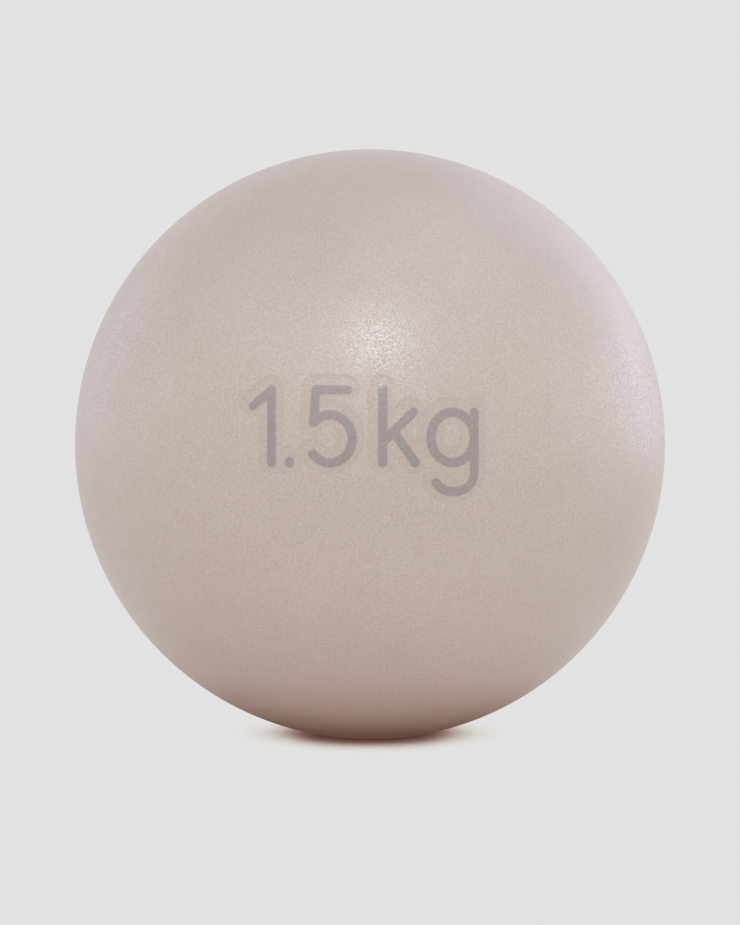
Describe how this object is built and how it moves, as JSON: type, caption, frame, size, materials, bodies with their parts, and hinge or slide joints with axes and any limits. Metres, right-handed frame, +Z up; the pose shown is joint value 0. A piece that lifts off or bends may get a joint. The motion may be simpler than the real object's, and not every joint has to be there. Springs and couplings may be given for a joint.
{
  "type": "toning ball",
  "caption": "Soft weighted hand ball for toning exercise: a hollow moulded skin part-filled with iron sand, with a push-in air valve and a small flat where it rests.",
  "frame": {"origin": "middle of the flattened foot, on the surface that the ball stands on", "axes": "+Z up through the ball's centre, -Y the front of the ball that the picture shows, +Y the valve's axis, pointing out of the ball"},
  "size_m": [0.12, 0.12, 0.1192],
  "materials": {
    "skin": "soft matte vinyl with a fine moulded grain",
    "valve_seat": "smooth satin vinyl",
    "valve_plug": "smooth satin vinyl",
    "iron_sand": "loose dark mineral grains"
  },
  "bodies": {
    "ball": {"shell": "skin", "valve_seat": "valve_seat"},
    "plug": {"valve_plug": "valve_plug"},
    "filling": {"sand_filling": "iron_sand"}
  },
  "joints": [
    {"name": "plug_pull", "type": "slide", "parent": "ball", "child": "plug", "axis": [0, 1, 0], "range_m": [0, 0.018]},
    {"name": "sand_roll", "type": "hinge", "parent": "ball", "child": "filling", "pos_m": [0, 0, 0.05916], "axis": [0, 1, 0], "continuous": true}
  ]
}
